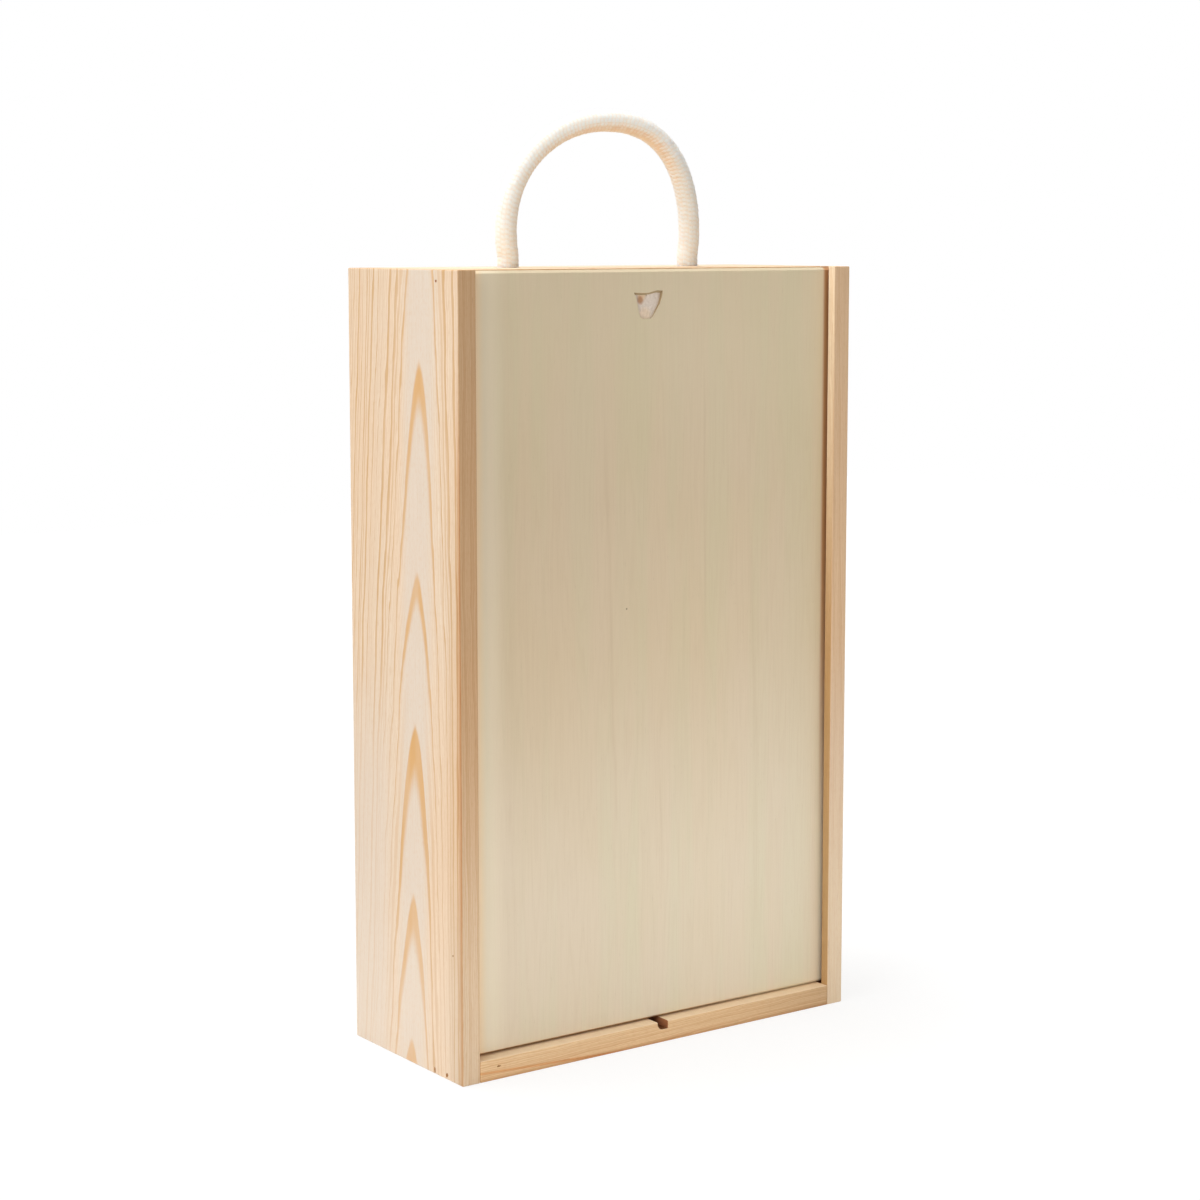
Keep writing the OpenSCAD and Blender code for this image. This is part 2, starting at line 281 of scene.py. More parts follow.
# %% A loose knot and the rules it obeys
TURN_GAP = 0.93 * 2 * ROPE_R  # turns this near are pressed apart
knot_low, knot_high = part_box("left_knot")
KNOT_REACH = (knot_high.x - knot_low.x) / 2 - ROPE_R
TAIL_END = knot_low.z - CEILING_Z
TAIL_LENGTH = 8 * MM
LOOSE_WIDE, LOOSE_TALL = 4.4, 1.05  # how large the loose knot's turns are, in millimetres
LOOSE_END = 2.13  # where its formula is cut off
NEIGHBOURS = 1.35 * 2 * ROPE_R  # stretches this near along the rope never press on each other
THREAD_ROOM = 2 * MM  # only what is this far from the hole's own line counts as a turn


def loose_knot():
    """A loose overhand knot that hangs from the origin, as a line of points."""
    t = np.linspace(LOOSE_END, -LOOSE_END, 900)
    x, y, z = t**3 - 3 * t, t**4 - 4 * t**2 + 2, t**5 - 10 * t
    turns = np.stack([LOOSE_WIDE * x, LOOSE_WIDE * y, LOOSE_TALL * z], 1) * MM
    turns[:, 2] += (TAIL_END + TAIL_LENGTH) / 2
    return np.vstack([[0, 0, 24 * MM], turns, [0, 0, TAIL_END - 10 * MM]])


def hold_ends(line, step):
    """Puts the knot's two ends back in place: straight down out of the hole, and the tail."""
    line[0], line[1] = (0, 0, 0), (0, 0, -step)
    line[-1], line[-2] = (0, 0, TAIL_END), (0, 0, TAIL_END + step)


def press_apart(line, step):
    """Pushes apart the stretches of the rope that lie closer than their own thickness."""
    gap = line[:, None] - line[None]
    far = np.linalg.norm(gap, axis=2) + 1e-9
    order = np.arange(len(line))
    apart = np.abs(order[:, None] - order[None]) > NEIGHBOURS / step
    one, other = np.where((far < TURN_GAP) & apart)
    push, count = np.zeros_like(line), np.ones(len(line))
    share = 0.5 * (TURN_GAP - far[one, other]) / far[one, other]
    np.add.at(push, one, share[:, None] * gap[one, other])
    np.add.at(count, one, 1)
    line += push / np.maximum(count - 1, 1)[:, None]


def keep_inside(line):
    """Keeps the turns under the board and inside the room that the knot has."""
    out = np.hypot(line[:, 0], line[:, 1])
    line[:, :2] *= np.minimum(1, KNOT_REACH / np.maximum(out, 1e-9))[:, None]
    turns = out > THREAD_ROOM
    line[turns, 2] = np.clip(line[turns, 2], TAIL_END + TAIL_LENGTH + ROPE_R, -ROPE_R)


# %% Tighten it
KNOT_ROPE = 126 * MM  # the length aimed at, but turns that press on each other keep some more
KNOT_POINTS = 110
KNOT_STEPS = 900
SHORTENING = 0.6  # the share of the steps in which the rope gets shorter
STRAIGHTENING = 6  # times that the lengths are put right in each step
CATCH_UP, SMOOTHING = 0.45, 0.35  # how much of a length or a bend is put right each time


def tighten(line):
    """Shortens the rope step by step until the knot is tight."""
    links = KNOT_POINTS - 1
    line, _ = even_line(line, distances(line)[-1] / links)
    loose_step, tight_step = distances(line)[-1] / links, KNOT_ROPE / links
    for turn in range(KNOT_STEPS):
        step = loose_step + (tight_step - loose_step) * min(1, turn / (SHORTENING * KNOT_STEPS))
        hold_ends(line, step)
        for _ in range(STRAIGHTENING):
            link = np.diff(line, axis=0)
            length = np.linalg.norm(link, axis=1)[:, None]
            pull = CATCH_UP * (length - step) / length * link
            line[:-1] += pull
            line[1:] -= pull
        line[1:-1] += SMOOTHING * ((line[:-2] + line[2:]) / 2 - line[1:-1])
        press_apart(line, step)
        keep_inside(line)
    hold_ends(line, tight_step)
    return line


knot_line = tighten(loose_knot())
print("rope in a knot:", round(distances(knot_line)[-1] / MM, 1), "mm")


# %% Hang both knots
def hang_knot(name, x, turned):
    """The knot under one hole, turned about the rope's own line."""
    turn = np.array([
        [math.cos(turned), -math.sin(turned), 0],
        [math.sin(turned), math.cos(turned), 0],
        [0, 0, 1],
    ])
    line = np.vstack([[0, 0, KNOT_JOIN], knot_line]) @ turn.T + np.array([x, ROPE_Y, CEILING_Z])
    return braided_rope(name, line)


left_knot = hang_knot("left_rope_knot", -HOLE_X, math.radians(200))
right_knot = hang_knot("right_rope_knot", HOLE_X, math.radians(75))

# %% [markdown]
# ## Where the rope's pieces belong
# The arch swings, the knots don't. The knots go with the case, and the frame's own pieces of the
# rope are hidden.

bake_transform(rope_handle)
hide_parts("rope_arch", "left_rope_leg", "right_rope_leg")
for knot, node in ((left_knot, "left_knot"), (right_knot, "right_knot")):
    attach(knot, "case")
    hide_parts(node)

# %% [markdown]
# ## Writing a finish as a formula
# Every finish here is procedural: a few waves, ramps and noises worked out from the place on the
# piece. Built by hand in the node editor they would be large nets of wires. Two small classes let
# each one read like a formula instead: a Net adds nodes, and what a node gives is a Value, which
# can be added, multiplied and so on like a number. Colours are red, green and blue from 0 to 255.

# %% A short way to write nodes
X, Y, Z = (1, 0, 0), (0, 1, 0), (0, 0, 1)


def paint(colour):
    """A colour as a paint chart gives it, 0 to 255, in the linear values that Blender mixes."""
    return (*(((c / 255 + 0.055) / 1.055) ** 2.4 for c in colour), 1.0)


class Value:
    """What a node gives: a number, a place or a colour that differs from point to point."""

    def __init__(self, net, socket):
        self.net, self.socket = net, socket

    def __add__(self, other):
        return self.net.math("ADD", self, other)

    def __sub__(self, other):
        return self.net.math("SUBTRACT", self, other)

    def __rsub__(self, other):
        return self.net.math("SUBTRACT", other, self)

    def __mul__(self, other):
        return self.net.math("MULTIPLY", self, other)

    def __truediv__(self, other):
        return self.net.math("DIVIDE", self, other)

    def __pow__(self, other):
        return self.net.math("POWER", self, other)

    def __abs__(self):
        return self.net.math("ABSOLUTE", self)

    __radd__, __rmul__ = __add__, __mul__


class Net:
    """A net of nodes. Its methods add nodes and return what they give."""

    def __init__(self, tree):
        self.tree = tree

    def feed(self, socket, value):
        if isinstance(value, Value):
            self.tree.links.new(value.socket, socket)
        else:
            socket.default_value = value

    def node(self, kind, inputs, output=0, **settings):
        made = self.tree.nodes.new("ShaderNode" + kind)
        for setting, value in settings.items():
            setattr(made, setting, value)
        for socket, value in inputs.items():
            self.feed(made.inputs[socket], value)
        return Value(self, made.outputs[output])

    def math(self, operation, *values):
        return self.node("Math", dict(enumerate(values)), operation=operation)


# %% Ramps, places and noises
class Finish(Net):
    """One material."""

    def __init__(self, name, **plain):
        self.material = bpy.data.materials.new(name)
        self.material.use_nodes = True
        super().__init__(self.material.node_tree)
        self.shader = self.tree.nodes["Principled BSDF"]
        for socket, value in plain.items():
            self.shader.inputs[socket.replace("_", " ")].default_value = value

    def fade(self, value, start, end, low=0.0, high=1.0):
        """A soft step from low to high while value goes from start to end."""
        sockets = {"Value": value, "From Min": start, "From Max": end, "To Min": low, "To Max": high}
        return self.node("MapRange", sockets, interpolation_type="SMOOTHSTEP")

    def band(self, value, start, full, less, end):
        """1 while value is between full and less, falling softly to 0 at start and at end."""
        return self.fade(value, start, full) * self.fade(value, less, end, 1.0, 0.0)

    def along(self, place, *ways):
        """How far a place lies in each direction."""
        dots = [
            self.node("VectorMath", {0: place, 1: way}, output=1, operation="DOT_PRODUCT") for way in ways
        ]
        return dots if len(ways) > 1 else dots[0]

    def place(self, kind="Object"):
        """The place on the piece in millimetres, or its outward direction if kind is Normal."""
        raw = self.node("TexCoord", {}, output=kind)
        size = 1.0 if kind == "Normal" else 1 / MM
        return self.node("VectorMath", {0: raw, 1: (size,) * 3}, operation="MULTIPLY")

    def noise(self, x, y, z, detail=2.0, roughness=0.5):
        """A soft cloud of values round 0.5. x, y and z count how many blobs to go through."""
        point = self.node("CombineXYZ", {0: x, 1: y, 2: z})
        sockets = {"Vector": point, "Scale": 1.0, "Detail": detail, "Roughness": roughness}
        return self.node("TexNoise", sockets)

    def mix(self, share, first, second, blend="MIX"):
        first, second = (c if isinstance(c, Value) else paint(c) for c in (first, second))
        sockets = {0: share, 6: first, 7: second}
        return self.node("Mix", sockets, output=2, data_type="RGBA", blend_type=blend)

    def shaded(self, colour, place, shades):
        """Changes a colour slowly, or in one region. A shade has fades, each (way, from, to) and
        all multiplied together, then its strength, its colour and how that is blended in."""
        for fades, strength, tint, blend in shades:
            share = strength
            for way, start, end in fades:
                share = self.fade(self.along(place, way), start, end) * share
            colour = self.mix(share, colour, tint, blend)
        return colour

    def spotted(self, colour, place, spots, core=0.4, blur=0.0):
        """Puts round stains on a colour, each (middle, radius, stain, strength). They are at full
        strength up to core, a share of the radius, and blur moves their outline in and out."""
        for middle, radius, stain, strength in spots:
            far = self.node("VectorMath", {0: place, 1: middle}, output=1, operation="DISTANCE")
            share = self.fade(far + blur, core * radius, radius, strength, 0.0)
            colour = self.mix(share, colour, stain)
        return colour

    def relief(self, height, depth):
        """Raises the surface where height is 1, by depth in metres."""
        bump = self.node("Bump", {"Height": height, "Distance": depth, "Strength": 1.0})
        self.feed(self.shader.inputs["Normal"], bump)

    def done(self, colour, roughness):
        self.feed(self.shader.inputs["Base Color"], colour)
        self.feed(self.shader.inputs["Roughness"], roughness)
        print("finish:", self.material.name, "in", len(self.tree.nodes), "nodes")
        return self.material


# %% [markdown]
# ## Cotton
# Undyed cotton is cream, almost white on the top of each stitch. The crevices between the stitches
# are real relief, and they also get a painted tan shade. Each stitch is a bundle of fine strands
# that run along it, and loose fibres catch the light at the rope's edge, which the shader's sheen
# gives. Where the rope faces down, as on the underside of the arch, it gets a painted shade, a
# little darker and warmer.

# %% Cotton finish
def cotton():
    finish = Finish(
        "undyed cotton", Sheen_Weight=0.8, Sheen_Roughness=0.6, Specular_IOR_Level=0.15,
        Subsurface_Weight=1.0, Subsurface_Radius=(1.0, 0.92, 0.86), Subsurface_Scale=9 * MM,
    )
    fade, mix = finish.fade, finish.mix
    column, stitch = finish.along(finish.node("UVMap", {}, uv_map="braid"), X, Y)
    height = finish.node("Attribute", {}, output="Fac", attribute_name="braid_height")
    below = fade(finish.along(finish.place("Normal"), Z), 0.3, -0.9)
    strands = finish.noise(column * 7.0, stitch * 1.0, 0.0, 3.0)
    fluff = finish.noise(column * 4.0, stitch * 5.0, 4.0, 4.0, 0.7)
    patches = finish.noise(column * 0.35, stitch * 0.15, 9.0, 3.0)

    yarn = mix(fade(patches, 0.35, 0.65), (255, 247, 243), (255, 250, 248))
    yarn = mix(fade(strands, 0.3, 0.7, 0.0, 0.5), yarn, (255, 243, 233))
    # painted shade: the crevices, where braid_height is low, are tan
    colour = mix(fade(height, 0.1, 0.75), (254, 232, 216), yarn)
    # painted shade: where the rope faces down, as under the arch, it is darker and warmer
    colour = mix(below * below, colour, (226, 202, 164), "MULTIPLY")
    finish.relief(strands * 0.5 + fluff * 0.5, 0.3 * MM)
    return finish.done(colour, fade(fluff, 0.3, 0.7, 0.85, 0.95))


rope_cotton = cotton()
for piece in (rope_handle, left_knot, right_knot):
    piece.data.materials.append(rope_cotton)

# %% [markdown]
# ## Pine
# A pine board is cut out of a stack of nearly round growth rings, so its figure is a slice
# through tubes. Each ring is pale where it grew in spring and orange where it grew in late
# summer. Where the saw meets the rings square on they show as fine upright lines, and where it
# runs along them they open into tall arches with orange tips. Making the rings in three
# dimensions, from the distance to the tree's heart, gives lines on the edges, arches on the
# faces and arcs on the sawn ends, and they meet at every corner as they do in real wood.

# %% Growth rings
RING_WIDTH = 2.9  # millimetres, like every length inside a finish
TREE_YEARS = 28413.0  # picks the run of good and poor years that the tree lived through
SWELL_LENGTH = 180.0


def growth_rings(finish, run, side, deep, blobs, heart, growth):
    """The year in which the wood at a point grew, counted from the tree's heart, and whether the
    point lies well to one side of the heart, from 0 to 1."""
    lean, rise, slump, swell = growth
    offset = side - (run * lean + heart[0])
    wave = finish.math("SINE", run * (2 * math.pi / SWELL_LENGTH)) * swell
    reach = run * rise + heart[1] + run**2.0 * -slump + wave - deep
    outward = finish.fade(abs(offset), 4.0, 20.0)
    point = finish.math("MINIMUM", abs(offset), 6.0) * 0.028
    sway = (blobs(0.06, 0.008) - 0.5) * 4.0 * outward
    jitter = (blobs(0.35, 0.045, 3.0) - 0.5) * finish.fade(outward, 0.0, 1.0, 0.15, 1.5)
    radius = finish.math("SQRT", offset**2.0 + reach**2.0) + point + sway + jitter
    ring = radius / RING_WIDTH
    return ring + (finish.noise(ring * 0.6, 3.0, 8.0) - 0.5) * 1.1 * outward, outward


def late_lines(finish, ring, outward, calm, turned_away, blobs):
    """The orange late wood at the end of each year, a fainter second band in some years, and
    fine lines between them. The late wood starts softly and ends sharply."""
    fade = finish.fade
    share, number = finish.math("FRACT", ring), finish.math("FLOOR", ring)
    year = finish.node("TexWhiteNoise", {"W": number + TREE_YEARS}, noise_dimensions="1D")
    thick = fade(year, 0.0, 1.0, 0.2, 0.46) * fade(outward, 0.0, 1.0, 1.0, 0.75)
    begin = 0.98 - thick
    strength = fade(year, 0.0, 1.0, 0.85, 1.0) * fade(blobs(0.12, 0.012), 0.3, 0.7, 0.7, 1.0)
    strength = strength * fade(calm, 0.0, 1.0, 1.0, 0.35) * fade(turned_away, 0.0, 1.0, 1.0, 0.3)
    late_wood = finish.band(share, begin, begin + thick * 0.55, 0.93, 1.0) * strength
    second = finish.node("TexWhiteNoise", {"W": number + 50.0}, noise_dimensions="1D")
    faint = finish.band(share, 0.3, 0.42, 0.46, 0.56) * fade(second, 0.2, 0.8) * outward * strength
    fine = finish.band(finish.math("FRACT", ring * 5.0), 0.3, 0.7, 0.75, 1.0) * outward
    return late_wood, faint, fine


# %% Pine finish
def pine(name, along, across, depth, start, heart, growth, early, late, edges, inside, shades=()):
    """Solid pine. along, across and depth are the board's own directions and start a point on
    its outer face. heart is where the tree's heart lies at the start: sideways, and behind the
    face. growth says how it wanders sideways in each millimetre, how much deeper it gets, how
    much less so further on, and how far it swells to and fro. edges and inside tint the narrow
    edges and the hidden face, at the start and further on. shades are as in Finish.shaded."""
    finish = Finish(name, Specular_IOR_Level=0.35)
    fade, mix = finish.fade, finish.mix
    whole = finish.place()
    place = finish.node("VectorMath", {0: whole, 1: start}, operation="SUBTRACT")
    run, side, deep = finish.along(place, along, across, depth)
    facing_run, facing_side, facing_deep = finish.along(finish.place("Normal"), along, across, depth)
    end_grain = fade(abs(facing_run), 0.6, 0.8)
    edge = fade(abs(facing_side), 0.55, 0.68)
    inner = fade(facing_deep, 0.6, 0.8)

    def blobs(short, long, *detail):
        """Noise that is fine across the fibres and stretched along them."""
        return finish.noise(side * short, deep * short, run * long, *detail)

    ring, outward = growth_rings(finish, run, side, deep, blobs, heart, growth)
    calm = fade(side, 4.0, 24.0) * fade(run, 210.0, 110.0)  # low down at the back
    turned_away = finish.math("MAXIMUM", edge, inner)
    late_wood, faint, fine = late_lines(finish, ring, outward, calm, turned_away, blobs)
    fibres = blobs(2.1, 0.03, 4.0, 0.6)
    canals = fade(blobs(1.7, 0.11), 0.7, 0.77)

    line = mix(outward, *late)
    wood = mix(fade(blobs(0.03, 0.006, 3.0), 0.35, 0.65), early[0], early[1])
    wood = mix(fade(outward, 0.0, 1.0, 0.75, 0.0), wood, early[2])
    wood = mix(calm * 0.7, wood, early[2])
    wood = mix(fine * fade(calm, 0.0, 1.0, 0.34, 0.12), wood, line)
    wood = mix(faint * 0.7, wood, line)
    wood = mix(late_wood, wood, line)
    wood = mix(fade(fibres, 0.35, 0.7, 0.0, 0.2), wood, (206, 172, 132))
    wood = mix(canals * 0.3, wood, (176, 130, 84))
    wood = mix(fade(blobs(1.2, 0.4), 0.45, 0.75, 0.0, 0.16), wood, line)
    wood = mix(edge, wood, mix(fade(run, 10.0, 190.0), *edges), "MULTIPLY")
    wood = mix(inner, wood, mix(fade(run, 140.0, 330.0), *inside), "MULTIPLY")
    wood = mix(end_grain * 0.7, wood, (236, 214, 182), "MULTIPLY")
    finish.relief(late_wood * 0.5 + fibres * 0.5 + canals * -0.6, 0.07 * MM)
    gloss = fade(fibres, 0.3, 0.7, 0.52, 0.66) - late_wood * 0.08
    return finish.done(finish.shaded(wood, whole, shades), gloss)


# %% Pine for each board
def box_mm(node):
    """The two far corners of a node's box, in millimetres."""
    return [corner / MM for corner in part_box(node)]


left_low, left_high = box_mm("left_side")
on_left_face = (X, left_low.x + 0.5, left_low.x + 0.1)
near_corner = (Y, -28.0, -42.0)
LEFT_SHADES = (  # the foot is paler, and the long front corner is darker except at its top
    ((on_left_face, (Z, 110.0, 20.0)), 0.14, (252, 243, 230), "MIX"),
    ((on_left_face, near_corner, (Z, 300.0, 180.0)), 1.0, (247, 242, 235), "MULTIPLY"),
    ((on_left_face, near_corner, (Z, 110.0, 40.0)), 1.0, (249, 252, 255), "MULTIPLY"),
    (
        (on_left_face, (Y, left_low.y + 3.6, left_low.y), (Z, 340.0, 240.0)),
        1.0, (226, 196, 162), "MULTIPLY",
    ),
)
# painted shade: the front edge gets darker further up, and the inner face gets darker low down
left_pine = pine(
    "left side pine", Z, Y, X, start=(left_low.x, 0, 0),
    heart=(-3.1, 28.381), growth=(-0.0353, 0.045352, 1.84e-5, 0.1717),
    early=((232, 208, 182), (230, 211, 189), (219, 207, 194)), late=((214, 163, 96), (207, 166, 117)),
    edges=((252, 249, 242), (231, 212, 187)), inside=((216, 190, 158), (252, 248, 240)),
    shades=LEFT_SHADES,
)
# painted shade: the front edge gets darker further up, and the inner face, the lip's included, gets darker
# low down
right_pine = pine(
    "right side pine", Z, (0, -1, 0), (-1, 0, 0), start=(-left_low.x, 0, 0),
    heart=(9.0, 33.0), growth=(0.02, 0.042, 1.0e-5, 0.2),
    early=((248, 226, 196), (246, 230, 206), (238, 224, 208)), late=((228, 180, 116), (220, 180, 132)),
    edges=((254, 247, 234), (243, 229, 216)), inside=((204, 177, 136), (255, 255, 255)),
)
LATE_END = ((222, 166, 108), (212, 162, 110))
top_pine = pine(
    "top board pine", X, Y, (0, 0, -1), start=(0, 0, left_high.z),
    heart=(21.0, 44.0), growth=(0.01, 0.05, 2.0e-5, 0.1),
    early=((238, 216, 186), (240, 220, 192), (236, 218, 194)), late=LATE_END,
    edges=((246, 232, 214), (240, 222, 200)), inside=((250, 240, 226), (250, 240, 226)),
)
on_base_front = (Y, left_low.y + 0.5, left_low.y + 0.1)
STREAK_LEAN = 0.052  # the orange streak on the bottom board's front sinks to the right
BASE_SHADES = (  # the streak, the lower edge and the strip in front of the lid
    (
        (on_base_front, ((STREAK_LEAN, 0, 1), -2.0, -1.2), ((STREAK_LEAN, 0, 1), -0.2, -1.0)),
        0.8, (243, 206, 168), "MULTIPLY",
    ),
    ((on_base_front, (Z, 2.6, 0.2)), 0.8, (222, 196, 168), "MULTIPLY"),
    # painted light: the strip in front of the lid lies in the lid's shade and is made paler
    (((Z, 9.2, 9.4), (Y, -38.0, -40.5)), 0.9, (255, 230, 196), "MIX"),
)
bottom_pine = pine(
    "bottom board pine", X, Y, Z, start=(0, 0, 0),
    heart=(-16.0, 40.0), growth=(0.0, 0.02, 2.0e-5, 0.1),
    early=((252, 233, 203), (253, 236, 209), (250, 235, 213)), late=LATE_END,
    edges=((246, 228, 204), (188, 170, 149)), inside=((255, 249, 240), (255, 249, 240)),
    shades=BASE_SHADES,
)

# %% [markdown]
# ## Poplar plywood
# The lid, the back and the divider are three thin sheets of poplar glued crosswise. Poplar is
# calm: hardly any rings, only broad upright streaks between pinkish and greenish beige, fine
# fibres and short pores. On an edge the three sheets show as bands with dark glue lines, so the
# finish looks at which way the surface faces.

# %% Plywood finish
STREAK_END = 25  # a single streak fades in and out over this length


def ply(name, run_way, side_way, deep_way, start, thickness, tones, spots=(), shades=(), wanderers=()):
    """Three-ply poplar. deep_way goes into the sheet from the face where start lies. spots and
    shades are as in Finish.spotted and Finish.shaded. wanderers are single streaks of the grain:
    (foot, head, width, strength), each foot and head a place across and up."""
    finish = Finish(name, Specular_IOR_Level=0.4)
    fade, mix = finish.fade, finish.mix
    whole = finish.place()
    place = finish.node("VectorMath", {0: whole, 1: start}, operation="SUBTRACT")
    run, side, deep = finish.along(place, run_way, side_way, deep_way)
    edge = fade(abs(finish.along(finish.place("Normal"), deep_way)), 0.35, 0.6, 1.0, 0.0)

    streaks = finish.noise(side * 0.055, run * 0.0028, 2.0, 3.0)
    cloud = finish.noise(side * 0.02, run * 0.01, 7.0, 3.0)
    fibres = finish.noise(side * 1.5, run * 0.03, 5.0, 4.0, 0.65)
    pores = fade(finish.noise(side * 2.6, run * 0.22, 1.0), 0.66, 0.75)
    growth = finish.band(finish.math("FRACT", streaks * 17.0), 0.5, 0.9, 0.93, 1.0)

    wood = mix(fade(streaks, 0.4, 0.6), tones[0], tones[1])
    wood = mix(fade(cloud, 0.35, 0.65, 0.0, 0.5), wood, tones[2])
    wood = mix(growth * 0.07, wood, tones[3])
    wood = mix(fade(fibres, 0.4, 0.75, 0.0, 0.16), wood, tones[3])
    wood = mix(pores * 0.14, wood, (150, 122, 88))
    for (foot_x, foot), (head_x, head), width, strength in wanderers:
        lean = (head_x - foot_x) / (head - foot)
        off = abs(side - (foot_x - lean * foot + run * lean + cloud * 5.0))
        share = finish.band(run, foot, foot + STREAK_END, head - STREAK_END, head)
        share = share * fade(off, 0.0, width, strength, 0.0) * fade(fibres, 0.3, 0.6, 0.4, 1.0)
        wood = mix(share, wood, tones[3])
    wood = finish.spotted(wood, whole, spots)

    # the edge: a darker core between two glue lines
    from_middle = abs(deep - thickness / 2)
    core = fade(from_middle, 0.17 * thickness, 0.19 * thickness, 1.0, 0.0)
    glue = fade(abs(from_middle - 0.18 * thickness), 0.01 * thickness, 0.04 * thickness, 1.0, 0.0)
    band = mix(core, (206, 178, 140), (176, 142, 104))
    band = mix(fade(fibres, 0.35, 0.7, 0.0, 0.5), band, (160, 128, 92))
    band = mix(glue * 0.7, band, (108, 78, 48))
    finish.relief(fibres * 0.6 + pores * -0.5, 0.05 * MM)
    colour = finish.shaded(mix(edge, wood, band), whole, shades)
    return finish.done(colour, fade(fibres, 0.3, 0.7, 0.42, 0.56))


# %% Plywood for each sheet
lid_low, lid_high = box_mm("sliding_lid")
back_low, back_high = box_mm("back_panel")
divider_low, divider_high = box_mm("centre_divider")
LID_TONES = ((234, 219, 193), (230, 221, 192), (236, 222, 201), (212, 192, 162))
BACK_TONES = ((222, 198, 162), (218, 198, 158), (226, 204, 172), (196, 170, 132))
LIP_LEFT, LIP_RIGHT = -94.9, 98.4  # where the lips meet the lid's face
LID_FOOT = lid_low.z + 1.5  # just above the bevel
# Painted light and shade on the lid: paler below and warmer above, a little darker to the left, a painted
# shadow along the right lip and along the foot, and painted light along the left lip
LID_SHADES = (  # paler below, warmer above, and darker along the right lip and the foot
    (((Z, 60.0, 200.0),), 1.0, (248, 242, 233), "MULTIPLY"),
    (((Z, 240.0, 330.0),), 0.3, (244, 232, 200), "MIX"),
    (((X, 60.0, -60.0),), 1.0, (248, 247, 246), "MULTIPLY"),
    (((X, LIP_RIGHT - 2.0, LIP_RIGHT), (Z, 40.0, 230.0)), 1.0, (222, 176, 140), "MULTIPLY"),
    (((X, LIP_LEFT + 17.0, LIP_LEFT + 5.0),), 0.5, (255, 242, 216), "MIX"),
    (((X, LIP_LEFT + 5.0, LIP_LEFT),), 1.0, (250, 226, 188), "MIX"),
    (((Z, LID_FOOT - 0.4, LID_FOOT - 0.8), (X, 90.0, 0.0)), 1.0, (186, 148, 110), "MULTIPLY"),
)
# painted shade: the foot of the divider's front edge, down in the slot, is darkened where shade falls
DIVIDER_SHADES = (  # the foot of its front edge, down in the slot
    (((Y, divider_low.y + 0.6, divider_low.y + 0.3), (Z, 14.0, 10.0)), 1.0, (120, 78, 48), "MULTIPLY"),
)
LID_STREAKS = (
    ((-24.0, 91.0), (-31.0, 295.0), 2.0, 0.22), ((27.0, 159.0), (24.0, 322.0), 1.0, 0.22),
    ((3.0, 64.0), (0.0, 134.0), 1.2, 0.22), ((58.0, 30.0), (52.0, 240.0), 2.6, 0.16),
)
PIN_KNOT = ((-15.7, lid_low.y, 199.6), 0.7, (120, 96, 66), 0.8)

lid_ply = ply(
    "lid poplar", Z, X, Y, (0, lid_low.y, 0), lid_high.y - lid_low.y,
    LID_TONES, (PIN_KNOT,), LID_SHADES, LID_STREAKS,
)
back_ply = ply(
    "back poplar", Z, X, (0, -1, 0), (0, back_high.y, 0), back_high.y - back_low.y, BACK_TONES,
)
divider_ply = ply(
    "divider poplar", Z, Y, X, (divider_low.x, 0, 0), divider_high.x - divider_low.x, BACK_TONES,
    shades=DIVIDER_SHADES,
)

# %% [markdown]
# ## Sawn and shaded cuts
# Where a blade went across the fibres, in the slots, the groove and the finger pull, the wood is
# rough. These faces get their own finish. Its dark browns are partly the rough wood's own tone and
# partly painted shade, where little light gets into a narrow cut, and the walls of a cut can be
# darker than its floor.

# %% Cut finish
def cut_wood(name, floor, wall, floor_way, blade_way, spots=()):
    """A rough cut face. Faces square to floor_way get the floor's colour, the others the wall's.
    blade_way is the direction of the blade's marks. spots are stains on the floor."""
    finish = Finish(name, Roughness=0.85, Specular_IOR_Level=0.15)
    fade, mix = finish.fade, finish.mix
    place = finish.place()
    is_floor = fade(abs(finish.along(finish.place("Normal"), floor_way)), 0.7, 0.92)
    tears = finish.noise(*(part * 0.9 for part in finish.along(place, X, Y, Z)), 3.0)
    marks = finish.noise(finish.along(place, blade_way) * 3.0, 0.0, 5.0, 2.0)
    rough = tears * 0.6 + marks * 0.4
    stained = finish.spotted(floor, place, spots, 0.35, (tears - 0.5) * 1.2)
    colour = mix(is_floor, wall, stained)
    colour = mix(fade(rough, 0.35, 0.65, 0.0, 0.25), colour, wall)
    finish.relief(rough, 0.12 * MM)
    return finish.done(colour, fade(rough, 0.3, 0.7, 0.75, 0.95))


# painted shade: the inside of the lid's groove is dark brown
groove_cut = cut_wood("groove cut", (176, 126, 84), (150, 98, 60), X, Z)
# painted shade: the slots, the notch and the open brad hole are dark brown, darkest on the slot floors
slot_cut = cut_wood("slot cut", (108, 68, 38), (172, 114, 76), Z, Y)
torn_cut = cut_wood("torn wood", (190, 142, 96), (170, 124, 80), Z, Y)
# brown of torn fibres, and painted shade in the deep gouge at the pull's upper left
TORN_AND_SHADED_BROWN = ((-7.7, -37.5, 335.9), 2.4, (206, 152, 114), 0.9)
TORN_CREAM = ((-6.6, -37.5, 338.0), 3.0, (252, 222, 184), 0.8)
TORN_TIP = ((-5.6, -38.2, 329.2), 5.0, (255, 232, 206), 0.9)
# the pull's walls are darker than its floor: partly the ply's edge, partly painted shade
pull_cut = cut_wood(
    "pull cut", (248, 234, 222), (178, 156, 122), Y, X, (TORN_CREAM, TORN_AND_SHADED_BROWN, TORN_TIP),
)

# %% [markdown]
# ## Boards
# A board is a section drawn once and run straight, as a planer leaves it. Its outer corners are
# then eased with a small round, because no real board has a perfect edge and the round is what
# catches the light. Slots and holes are cut afterwards, so they stay crisp.

